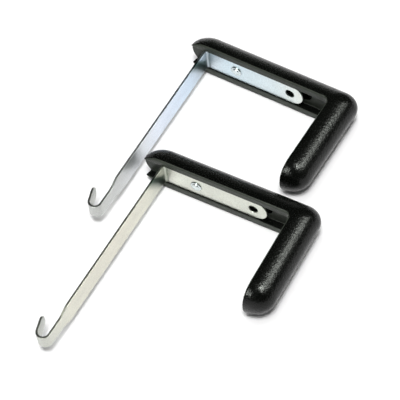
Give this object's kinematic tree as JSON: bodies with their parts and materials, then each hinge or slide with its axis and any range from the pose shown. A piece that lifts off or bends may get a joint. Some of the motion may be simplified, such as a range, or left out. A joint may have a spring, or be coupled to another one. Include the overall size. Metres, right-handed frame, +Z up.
{
  "type": "partition hanger set",
  "caption": "Matching over-the-panel hangers for a file rack: a half-round plastic arm and leg, with a sliding steel strap that ends in a hook.",
  "frame": {"origin": "centre of the set's footprint, on the surface both hangers lie on", "axes": "+X along the front hanger's arm from its nose to its leg, legs and straps point to -Y, +Z up from the table"},
  "size_m": [0.1052, 0.1868, 0.021],
  "materials": {
    "body_plastic": "fine grain, semi-gloss black",
    "zinc_steel": "zinc plated, satin",
    "rivet_steel": "plated, bright",
    "screw_steel": "dark zinc",
    "acetal": "natural white"
  },
  "bodies": {
    "front_hanger": {"front_cover": "body_plastic", "front_track_frame": "body_plastic", "front_case_screw_1": "screw_steel", "front_case_screw_2": "screw_steel"},
    "front_strap_unit": {"front_strap": "zinc_steel", "front_rivet": "rivet_steel", "front_glide_bush": "acetal", "front_flat_washer": "zinc_steel", "front_wave_washer": "rivet_steel"},
    "rear_hanger": {"rear_cover": "body_plastic", "rear_track_frame": "body_plastic", "rear_case_screw_1": "screw_steel", "rear_case_screw_2": "screw_steel"},
    "rear_strap_unit": {"rear_strap": "zinc_steel", "rear_rivet": "rivet_steel", "rear_glide_bush": "acetal", "rear_flat_washer": "zinc_steel", "rear_wave_washer": "rivet_steel"}
  },
  "joints": [
    {"name": "front_strap_slide", "type": "slide", "parent": "front_hanger", "child": "front_strap_unit", "axis": [-1, 0, 0], "range_m": [-0.011, 0.0095]},
    {"name": "rear_set_apart", "type": "slide", "parent": "front_hanger", "child": "rear_strap_unit", "axis": [0, 1, 0], "range_m": [-0.004, 0.06]},
    {"name": "rear_strap_slide", "type": "slide", "parent": "rear_strap_unit", "child": "rear_hanger", "axis": [0.9989, -0.0462, 0], "range_m": [-0.013, 0.0075]}
  ]
}
